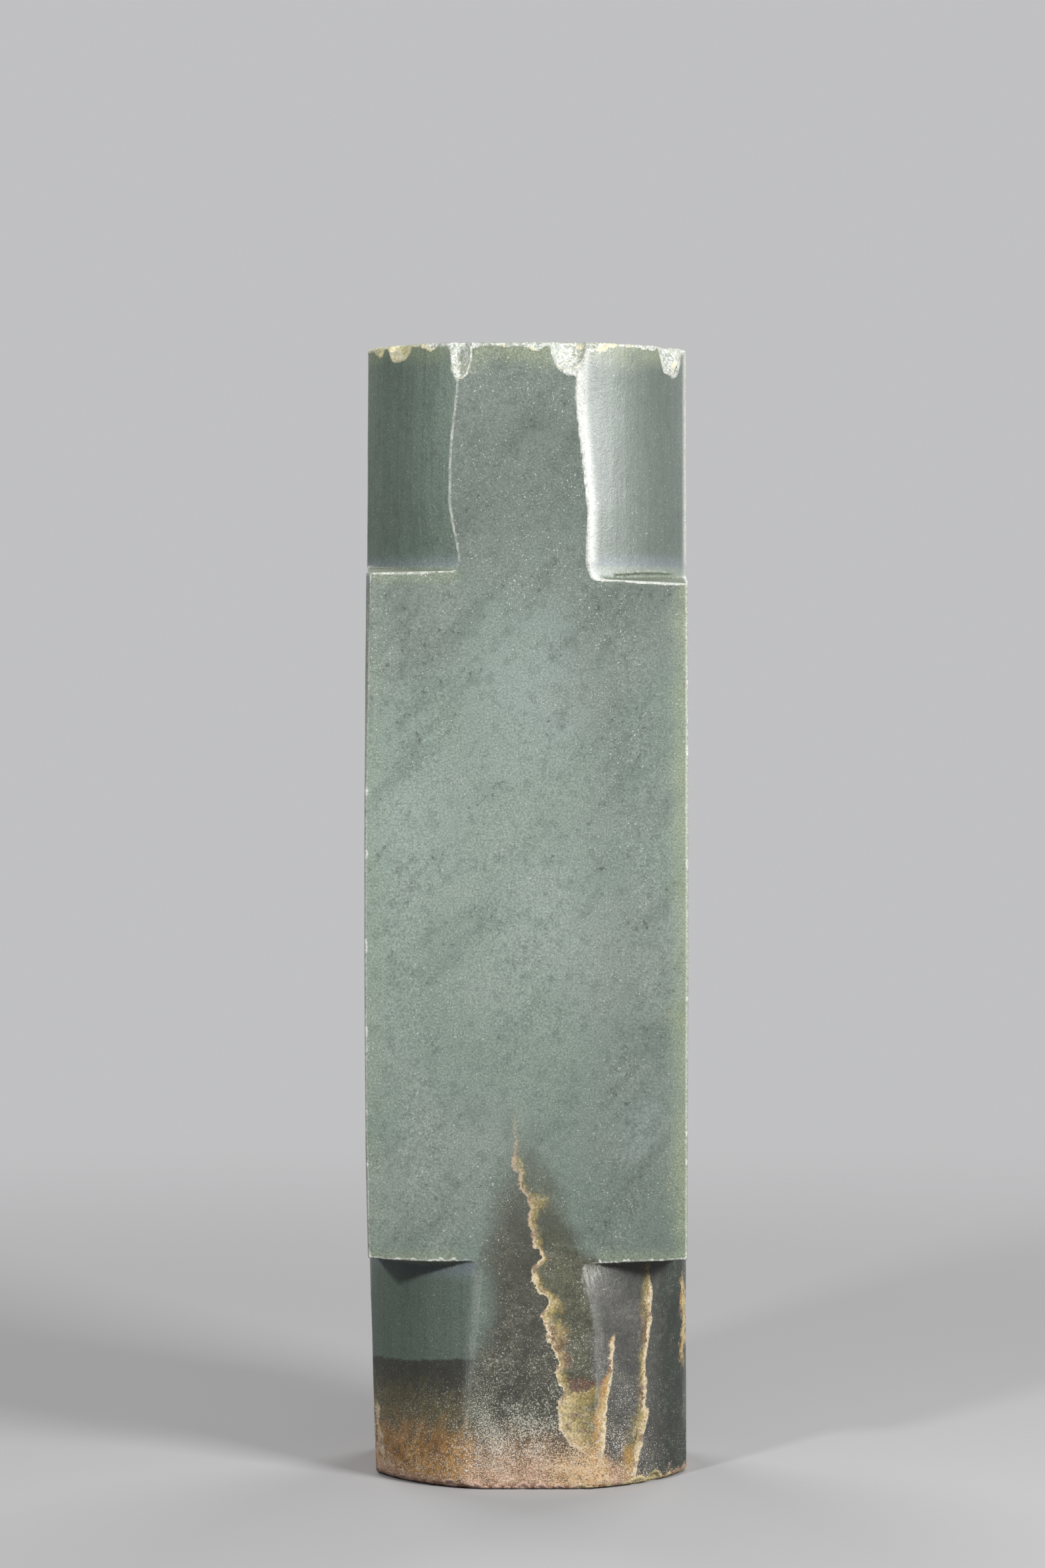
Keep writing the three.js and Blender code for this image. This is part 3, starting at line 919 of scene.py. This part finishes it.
# What stands up from the surface, where, and by how many millimetres.
relief = [
    ("grain", None, 0.03), ("small", None, 0.05), ("grinding", "groundWall", 0.03),
    ("peel", "groundWall", 0.03), ("speckle", "skin", 0.14), ("speckle", "flakeScar", 0.2),
    ("veinEdges", None, -0.04),
]


def product(tree, *values):
    total = values[0]
    for value in values[1:]:
        total = calc(tree, "MULTIPLY", total, value)
    return total


def greatest(tree, *values):
    most = values[0]
    for value in values[1:]:
        most = calc(tree, "MAXIMUM", most, value)
    return most


def absolute(tree, value):
    return calc(tree, "ABSOLUTE", value)


def lessened(tree, mask, amount):  # 1, and less by this amount where the mask is 1
    return calc(tree, "MULTIPLY_ADD", mask, -amount, 1)


def wandering(tree, value, wave, reach):  # a value that noise pushes up and down
    return calc(tree, "ADD", value, centred(tree, wave, reach))


def within(tree, *limits):  # pairs of a value and its ramp: 1 where each value is past the end of its ramp
    return product(tree, *[ramp(tree, value, *numbers) for value, numbers in limits])


def tinted(tree, colour, tone):  # a colour made darker or lighter by a number
    return blend(tree, 1.0, colour, tone, "MULTIPLY")


def laid(tree, colour, coat, *shares):  # a coat over a colour, as thick as the product of its shares
    return blend(tree, product(tree, *shares), colour, coat)


def painted(tree, colour, *coats):  # each coat is a value, the ramp that it comes in by, and its colour
    for value, numbers, coat in coats:
        colour = laid(tree, colour, coat, ramp(tree, value, *numbers))
    return colour


def slanted(tree, known, slant):  # the place across the face, led off through the stone towards the back
    return calc(tree, "SUBTRACT", known["x"], product(tree, known["behind"], slant))


def readStone(tree):  # the places, marks and noises that the colours share
    known = {}
    coordinates = addNode(tree, "ShaderNodeTexCoord").outputs["Object"]
    place = known["place"] = stretched(tree, coordinates, (1 / mm, 1 / mm, 1 / mm))
    split = addNode(tree, "ShaderNodeSeparateXYZ")
    feed(tree, split.inputs[0], place)
    x, y, z = known["x"], known["y"], known["z"] = split.outputs
    for name in ("wornEdge", "flakeScar", "groundWall"):
        known[name] = addNode(tree, "ShaderNodeAttribute", attribute_name=name).outputs["Fac"]

    for name, (scale, detail, roughness) in noises.items():
        known[name] = noise(tree, place, scale, detail, roughness)
    for name, (scale, turn, detail, roughness) in drawnNoises.items():
        known[name] = noise(tree, stretched(tree, place, scale, turn), 1, detail, roughness)
    crystals = addNode(tree, "ShaderNodeTexVoronoi")
    feed(tree, crystals.inputs["Vector"], place)
    feed(tree, crystals.inputs["Scale"], measures["crystals"])
    tones = addNode(tree, "ShaderNodeSeparateColor")
    feed(tree, tones.inputs[0], crystals.outputs["Color"])
    known["crystalTone"] = tones.outputs[0]

    # from the middle of the face: the nearer side, the height outside the square part, the way to the back
    known["sidewise"] = calc(tree, "MINIMUM", absolute(tree, x), absolute(tree, y))
    fromMiddle = absolute(tree, calc(tree, "SUBTRACT", z, measures["middle"]))
    known["pastLedge"] = calc(tree, "SUBTRACT", fromMiddle, measures["toLedge"])
    known["behind"] = greatest(tree, calc(tree, "ADD", y, measures["frontDepth"]), 0)

    # the flat ends, the rounded square edges, and the upper walls on the right, which are the best polished
    facing = addNode(tree, "ShaderNodeSeparateXYZ")
    feed(tree, facing.inputs[0], addNode(tree, "ShaderNodeNewGeometry").outputs["Normal"])
    squareOn = greatest(tree, absolute(tree, facing.outputs[0]), absolute(tree, facing.outputs[1]))
    farthest = greatest(tree, absolute(tree, x), absolute(tree, y))
    depth = calc(tree, "SUBTRACT", measures["halfWidth"], farthest)
    known["onEnd"] = within(tree, (absolute(tree, facing.outputs[2]), measures["endTurn"]))
    known["arris"] = within(tree, (depth, measures["arrisDepth"]), (squareOn, measures["arrisTurn"]))
    known["polish"] = product(tree, known["groundWall"], ramp(tree, z, *measures["polishHeight"]),
                              ramp(tree, x, *measures["polishPlace"]))
    return known


def grit(tree, known, perMillimetre, covers):  # ragged grains that cover about this share of the surface
    grain = noise(tree, known["place"], perMillimetre, grains["detail"], grains["roughness"])
    start = curve(tree, covers, grains["startByShare"], spans["share"], grains["startSpan"], "VECTOR")
    return ramp(tree, calc(tree, "SUBTRACT", grain, start), *grains["softness"])


def greenStone(tree, known):
    x, z, streaks = known["x"], known["z"], known["streaks"]
    colour = painted(tree, jade["celadon"], (known["broad"], jade["greyPatches"], jade["greyCeladon"]))
    for cloudX, cloudZ, wide, share in jade["clouds"]:
        across = calc(tree, "SUBTRACT", x, cloudX)
        up = calc(tree, "MULTIPLY", calc(tree, "SUBTRACT", z, cloudZ), jade["cloudFlatness"])
        far = calc(tree, "SQRT", calc(tree, "ADD", product(tree, across, across), product(tree, up, up)))
        far = wandering(tree, far, known["middling"], wide * jade["cloudRaggedness"])
        colour = painted(tree, colour, (far, (wide, 0, 0, share), jade["bluishCloud"]))
    colour = painted(tree, colour, (streaks, jade["streaks"], jade["darkStreak"]),
                     (known["mottle"], jade["mottling"], jade["darkStreak"]))
    flecks = within(tree, (known["small"], jade["flecks"]), (streaks, jade["flecksInStreaks"]))
    colour = laid(tree, colour, jade["fleck"], flecks, jade["fleckShare"])
    # darker towards the foot and the rim, times the painted shade across the face
    height = wandering(tree, z, known["broad"], jade["toneWander"])
    tone = product(tree, curve(tree, height, jade["toneByHeight"], spans["height"]),
                   curve(tree, x, jade["paintedShadeByPlace"], spans["across"]))
    return tinted(tree, colour, tone)


def groundWalls(tree, known, colour):  # better polished, so deeper in colour, and streaked down their length
    ground = known["groundWall"]
    wall = painted(tree, walls["polished"], (known["grinding"], walls["streaks"], walls["streak"]))
    wall = tinted(tree, wall, curve(tree, known["z"], walls["toneByHeight"], spans["height"]))
    wall = painted(tree, wall, (known["mottle"], walls["mottling"], jade["fleck"]))
    wall = tinted(tree, wall, lessened(tree, known["polish"], walls["darkerWherePolished"]))
    colour = laid(tree, colour, wall, ground, walls["share"])
    # painted reflection: a pale bluish sheen on the wall next to the ledge
    known["paintedSheen"] = product(tree, ground, ramp(tree, known["pastLedge"], *walls["paintedSheenByLedge"]))
    return laid(tree, colour, walls["paintedSheen"], known["paintedSheen"])


def thinEdges(tree, known, colour):  # thin edges let the light through, so they are olive
    pastLedge, sidewise = known["pastLedge"], known["sidewise"]
    across = wandering(tree, sidewise, known["middling"], edges["wander"])
    height = wandering(tree, known["z"], known["middling"], edges["rimWander"])
    nearLedge = wandering(tree, pastLedge, known["small"], edges["ledgeWander"])
    edge = within(tree, (across, edges["sidewise"]), (known["x"], edges["byPlace"]))
    rim = within(tree, (height, edges["rimHeight"]))
    ledge = within(tree, (nearLedge, edges["ledgeFrom"]), (pastLedge, edges["ledgeTo"]),
                   (sidewise, edges["ledgeSidewise"]))
    return laid(tree, colour, edges["olive"], greatest(tree, edge, rim, ledge))


def stainedWedge(tree, known, colour, here, mainOffset):
    z = known["z"]
    leftEdge = curve(tree, z, stain["leftEdge"], spans["foot"], spans["line"])
    rightEdge = curve(tree, z, stain["rightEdge"], spans["foot"], spans["line"])
    wedge = within(tree, (calc(tree, "SUBTRACT", here, leftEdge), stain["leftSoftness"]),
                   (calc(tree, "SUBTRACT", here, rightEdge), stain["rightSoftness"]))
    wedge = product(tree, wedge, curve(tree, z, stain["shareByHeight"], spans["foot"]))
    brown = painted(tree, stain["greyBrown"], (mainOffset, stain["olivePastVein"], stain["oliveBrown"]),
                    (here, stain["wallGreyPlace"], stain["wallGrey"]),
                    (here, stain["wallGreenPlace"], stain["wallGreen"]),
                    (known["mottle"], stain["mottling"], stain["paleGrey"]))
    brown = tinted(tree, brown, ramp(tree, known["middling"], *stain["broadTone"]))
    brown = tinted(tree, brown, ramp(tree, known["small"], *stain["fineTone"]))
    colour = laid(tree, colour, brown, wedge)
    # painted highlight on the scratched facet under the right ledge
    scratchedHighlight = within(tree, (here, highlightFacet["left"]), (here, highlightFacet["right"]), (z, highlightFacet["bottom"]),
                       (z, highlightFacet["top"]), (known["y"], highlightFacet["front"]),
                       (known["scratches"], highlightFacet["scratches"]))
    return laid(tree, colour, highlightFacet["colour"], scratchedHighlight), wedge


def levelLineBand(tree, known, colour, here):
    z, small, runs = known["z"], known["small"], known["runs"]
    sloped = product(tree, calc(tree, "ADD", known["x"], -band["slopeFrom"]), -band["slope"])
    level = calc(tree, "ADD", wandering(tree, z, known["mottle"], band["lineWander"]), sloped)
    line = (band["line"] + band["lineSoftness"], band["line"] - band["lineSoftness"])
    left = within(tree, (level, line), (here, band["rightEnd"]))
    wander = wandering(tree, centred(tree, runs, band["runWander"]), small, band["fineWander"])
    lower = calc(tree, "ADD", z, wander)
    low = painted(tree, band["dark"], (lower, band["oliveHeight"], band["olive"]),
                  (lower, band["russetHeight"], band["russet"]))
    golden = within(tree, (known["middling"], band["goldenPatches"]), (lower, band["goldenHeight"]),
                    (small, band["goldenGrain"]))
    low = laid(tree, low, band["golden"], golden, band["goldenShare"])
    dark = within(tree, (runs, band["darkRuns"]), (z, band["darkHeight"]))
    low = laid(tree, low, band["darkRusset"], dark)
    low = tinted(tree, low, ramp(tree, small, *band["tone"]))
    known["bandSalt"] = calc(tree, "MULTIPLY_ADD", left, ramp(tree, z, *band["lessSaltAbove"]), 1)
    return laid(tree, colour, low, left), left


def stainedFoot(tree, known, colour, mainOffset):  # a wedge on the face, and all of the right of the collar
    small = known["small"]
    wander = wandering(tree, centred(tree, known["middling"], stain["wander"]), small, stain["fineWander"])
    here = calc(tree, "ADD", slanted(tree, known, stain["slant"]), wander)
    colour, wedge = stainedWedge(tree, known, colour, here, mainOffset)
    colour, left = levelLineBand(tree, known, colour, here)
    known["stained"] = greatest(tree, wedge, left)
    return colour


def veinOffset(tree, known, vein, ragged):  # how far a point lies on the body's side of the crisp edge
    line = curve(tree, known["z"], vein["line"], spans["foot"], spans["line"], "VECTOR")
    offset = calc(tree, "ADD", calc(tree, "SUBTRACT", slanted(tree, known, vein["slant"]), line), ragged)
    return product(tree, offset, vein["side"])


def drawVeinBody(tree, known, colour, vein, offset, length):
    mottle, middling = known["mottle"], known["middling"]
    wander = centred(tree, mottle, veinBody["heightWander"])
    wander = wandering(tree, wander, middling, veinBody["broadHeightWander"])
    height = calc(tree, "ADD", known["z"], wander)
    width = curve(tree, height, vein["width"], spans["foot"], spans["veinWidth"])
    ragged = wandering(tree, offset, mottle, veinBody["raggedness"])
    share = calc(tree, "DIVIDE", ragged, greatest(tree, width, veinBody["thinnest"]))
    body = product(tree, within(tree, (offset, veinBody["start"]), (share, veinBody["endShare"])), length)
    known["veinBody"] = greatest(tree, known["veinBody"], body)

    outer = wandering(tree, share, mottle, veinBody["oliveWander"])
    hue = painted(tree, veinColours["pale"], (share, veinBody["paleShare"], veinColours[vein["body"]]),
                  (outer, veinBody["oliveShare"], veinColours["olive"]),
                  (middling, veinBody["russetPatches"], veinColours["russet"]),
                  (known["small"], veinBody["creamGrain"], veinColours["cream"]),
                  (known["crystalTone"], veinBody["creamCrystals"], veinColours["cream"]),
                  (height, veinBody["orangeHeight"], veinColours["orange"]))
    hue = tinted(tree, hue, ramp(tree, known["peel"], *veinBody["tone"]))
    return laid(tree, colour, hue, body, ramp(tree, known["z"], *veinBody["shareByHeight"]))


def drawVeinEdge(tree, known, colour, vein, offset, length):
    z, mottle = known["z"], known["mottle"]
    thick = wandering(tree, ramp(tree, mottle, *veinEdge["thickness"]), known["peel"], veinEdge["wander"])
    thick = greatest(tree, thick, veinEdge["thinnest"])
    thick = product(tree, thick, ramp(tree, z, *veinEdge["thickerByHeight"]))
    crisp = within(tree, (offset, veinEdge["start"]), (calc(tree, "DIVIDE", offset, thick), veinEdge["end"]))
    crisp = product(tree, crisp, length, ramp(tree, known["small"], *veinEdge["gaps"]),
                    ramp(tree, z, *veinEdge["shareByHeight"]))
    known["veinEdges"] = greatest(tree, known["veinEdges"], crisp)
    edge = painted(tree, veinColours[vein["edge"]], (z, veinEdge["pinkHeight"], veinColours["pinkBrown"]),
                   (mottle, veinEdge["russetPatches"], veinColours["russet"]))
    return laid(tree, colour, edge, crisp)


def drawVeins(tree, known, colour, ragged, mainOffset):
    z = known["z"]
    height = wandering(tree, z, known["middling"], veinBorder["broadWander"])
    height = wandering(tree, height, known["mottle"], veinBorder["wander"])
    border = within(tree, (height, veinBorder["top"]), (height, veinBorder["bottom"]),
                    (mainOffset, veinBorder["left"]), (mainOffset, veinBorder["right"]))
    colour = laid(tree, colour, veinColours["russet"], border, veinBorder["share"])
    known["veinBody"] = known["veinEdges"] = 0.0
    straighter = product(tree, ragged, veinBody["straighter"])
    for name, vein in veins.items():
        offset = mainOffset if name == "main" else veinOffset(tree, known, vein, straighter)
        length = within(tree, (z, vein["top"]), (z, vein["foot"]))
        colour = drawVeinBody(tree, known, colour, vein, offset, length)
        colour = drawVeinEdge(tree, known, colour, vein, offset, length)
    return colour


def saltGrains(tree, known, colour, under, foot):
    x, z, tone = known["x"], known["z"], known["crystalTone"]
    many = product(tree, known["stained"], curve(tree, z, salt["byHeight"], spans["foot"]))
    many = product(tree, many, curve(tree, x, salt["byPlace"], spans["across"]), known["bandSalt"])
    many = product(tree, many, ramp(tree, known["middling"], *salt["patches"]),
                   lessened(tree, known["veinBody"], salt["lessOnVeins"]))
    underSkin = product(tree, ramp(tree, under, *salt["underSkin"]), salt["underSkinShare"])
    onFoot = product(tree, foot, ramp(tree, known["mottle"], *salt["onFoot"]))
    grain = grit(tree, known, salt["perMillimetre"], greatest(tree, many, underSkin, onFoot))

    underPatch = within(tree, (x, salt["patchLeft"]), (x, salt["patchRight"]))
    crust = laid(tree, skin["pink"], skin["apricot"], underPatch)
    warm = painted(tree, skin["cream"], (tone, salt["whiteCrystals"], skin["white"]))
    warm = laid(tree, warm, crust, foot, ramp(tree, tone, *salt["crustCrystals"]))
    height = wandering(tree, z, known["middling"], salt["heightWander"])
    pale = painted(tree, salt["colour"], (height, salt["warmHeight"], warm))
    return laid(tree, colour, pale, grain, ramp(tree, z, *salt["shareByHeight"]))


def roughSkin(tree, known, colour):
    here = slanted(tree, known, skin["slant"])
    height = wandering(tree, known["z"], known["mottle"], skin["wander"])
    top = curve(tree, here, skin["topByPlace"], spans["across"], spans["skin"])
    footTop = curve(tree, here, skin["footTopByPlace"], spans["across"], spans["skin"])
    under = calc(tree, "DIVIDE", height, top)
    foot = ramp(tree, calc(tree, "DIVIDE", height, footTop), *skin["footSoftness"])
    thin = product(tree, ramp(tree, under, *skin["underSoftness"]), skin["underShare"])
    known["skin"] = greatest(tree, thin, foot)
    brown = tinted(tree, skin["brown"], ramp(tree, known["small"], *skin["brownTone"]))
    colour = laid(tree, colour, brown, ramp(tree, under, *skin["brownSoftness"]), skin["brownShare"])
    colour = saltGrains(tree, known, colour, under, foot)
    line = within(tree, (known["z"], skin["lineHeight"]), (here, skin["lineRightEnd"]))
    return laid(tree, colour, skin["footLine"], line, skin["lineShare"])


def flakeScars(tree, known, colour):
    x, z, tone, scar = known["x"], known["z"], known["crystalTone"], known["flakeScar"]
    greyer = curve(tree, x, scars["greyByPlace"], spans["across"], scars["greySpan"])
    flake = calc(tree, "ADD", known["patches"], greyer)
    outline = within(tree, (scar, scars["outline"]), (z, scars["outlineHeight"]))
    inner = product(tree, ramp(tree, flake, *scars["inner"]), lessened(tree, outline, scars["outlineCream"]))
    granular = calc(tree, "MULTIPLY_ADD", inner, scars["granularInside"], scars["granularOutside"])
    hue = laid(tree, scars["cream"], scars["grey"], inner)
    hue = painted(tree, hue, (flake, scars["yellowPatches"], scars["yellow"]))
    hue = laid(tree, hue, scars["white"], ramp(tree, tone, *scars["whiteCrystals"]), granular)
    olive = ramp(tree, tone, *scars["oliveCrystals"])
    hue = laid(tree, hue, scars["olive"], olive, granular, scars["oliveShare"])
    footHue = painted(tree, skin["pink"], (x, scars["footPlace"], scars["foot"]))
    hue = painted(tree, hue, (z, scars["footHeight"], footHue),
                  (known["pastLedge"], scars["plainPastLedge"], worn["colour"]))
    deep = within(tree, (scar, scars["deep"]), (z, scars["deepHeight"]))
    patchy = greatest(tree, ramp(tree, known["small"], *scars["patchiness"]),
                      ramp(tree, z, *scars["fullHeight"]), deep)
    return laid(tree, colour, hue, ramp(tree, scar, *scars["outer"]), patchy)


def wornEdgesAndHighlights(tree, known, colour):
    x, z, small, bend = known["x"], known["z"], known["small"], known["wornEdge"]
    sidewise, pastLedge = known["sidewise"], known["pastLedge"]
    strip = within(tree, (sidewise, worn["stripSidewise"]), (pastLedge, worn["stripPastLedge"]))
    # the strip edges carry a painted highlight: wider on the right, and stronger high up and on the right
    soft = blend(tree, ramp(tree, x, *worn["rightPlace"]), ramp(tree, bend, *worn["leftBend"]),
                 ramp(tree, bend, *worn["rightBend"]))
    paintedHighlight = within(tree, (z, worn["highlightHeight"]), (x, worn["highlightPlace"]))
    edge = blend(tree, strip, ramp(tree, bend, *worn["stripBend"]), product(tree, soft, paintedHighlight))
    # painted highlight on the rounded arris of the upper right wall, and a fainter one on the lower collars
    white = within(tree, (z, worn["highlightBandHeight"]), (x, worn["highlightBandPlace"]))
    rounded = product(tree, known["arris"], greatest(tree, white, ramp(tree, z, *worn["greyHeight"])))
    share = greatest(tree, product(tree, edge, ramp(tree, small, *worn["patches"])),
                     product(tree, rounded, ramp(tree, small, *worn["arrisPatches"])))
    onLedge = within(tree, (pastLedge, worn["ledgeFrom"]), (pastLedge, worn["ledgeTo"]))
    upright = within(tree, (pastLedge, worn["uprightPastLedge"]), (sidewise, worn["uprightSidewise"]))
    return laid(tree, colour, worn["colour"], share, ramp(tree, known["flakeScar"], *worn["inScars"]),
                ramp(tree, z, *worn["aboveFoot"]), lessened(tree, onLedge, worn["lessOnLedge"]),
                lessened(tree, upright, worn["lessOnUprights"]))


def crystalShare(tree, known, kind, uneven):
    crystal = grains[kind]
    return grit(tree, known, crystal["perMillimetre"], product(tree, uneven, crystal["covers"]))


def colourStone(tree, known):
    wall, pale, crystalGlints = known["groundWall"], grains["pale"], grains["crystalGlints"]
    ragged = centred(tree, known["bends"], veinBody["bends"])
    ragged = wandering(tree, ragged, known["jags"], veinBody["jags"])
    mainOffset = veinOffset(tree, known, veins["main"], ragged)
    colour = greenStone(tree, known)
    colour = groundWalls(tree, known, colour)
    colour = thinEdges(tree, known, colour)
    colour = stainedFoot(tree, known, colour, mainOffset)
    colour = drawVeins(tree, known, colour, ragged, mainOffset)

    uneven = ramp(tree, known["middling"], *grains["patches"])
    darkShare = crystalShare(tree, known, "dark", uneven)
    colour = laid(tree, colour, jade["fleck"], darkShare, grains["dark"]["share"])
    paleShare = crystalShare(tree, known, "pale", uneven)
    colour = laid(tree, colour, jade["whiteSpeck"], paleShare, pale["share"],
                  lessened(tree, wall, pale["lessOnWalls"]))
    colour = roughSkin(tree, known, colour)
    colour = flakeScars(tree, known, colour)
    colour = wornEdgesAndHighlights(tree, known, colour)
    # white crystal specks, painted bright as glints and made glossier
    glintingSpecks = crystalShare(tree, known, "crystalGlints", uneven)
    known["glintingSpecks"] = product(tree, glintingSpecks, lessened(tree, wall, crystalGlints["lessOnWalls"]))
    swing = product(tree, centred(tree, known["grain"], grains["toneSwing"]),
                    lessened(tree, wall, grains["toneLessOnWalls"]))
    colour = tinted(tree, colour, calc(tree, "MULTIPLY_ADD", swing, 1, 1))
    return laid(tree, colour, jade["whiteSpeck"], known["glintingSpecks"], crystalGlints["share"])


def makeJade():
    material = bpy.data.materials.new("jade")
    material.use_nodes = True
    tree = material.node_tree
    stone = tree.nodes["Principled BSDF"]
    known = readStone(tree)
    feed(tree, stone.inputs["Base Color"], colourStone(tree, known))

    rough = gloss["base"]
    for name, change in glossChanges.items():
        rough = calc(tree, "MULTIPLY_ADD", known[name], change, rough)
    feed(tree, stone.inputs["Roughness"], wandering(tree, rough, known["small"], gloss["swing"]))

    height = 0.0
    for name, where, rise in relief:
        marks = product(tree, known[name], known[where]) if where else known[name]
        height = calc(tree, "MULTIPLY_ADD", marks, rise, height)
    bump = addNode(tree, "ShaderNodeBump")
    feed(tree, bump.inputs["Height"], height)
    feed(tree, bump.inputs["Distance"], mm)
    feed(tree, stone.inputs["Normal"], bump.outputs[0])
    feed(tree, stone.inputs["Coat Normal"], bump.outputs[0])
    feed(tree, stone.inputs["Coat Weight"], known["polish"])
    for name, value in sheen.items():
        stone.inputs[name].default_value = value
    return material


makeCamera()
makeLights()
makeFloor()
makeBackground()
print("studio: done")

flakes = makeFlakes()
stone = makeStone(flakes)
markStone(stone, flakes)
bpy.data.objects.remove(flakes)
thinStone(stone)
stone.data.materials.append(makeJade())
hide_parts("jade_block")
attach(stone, "root")
print("jade: done")
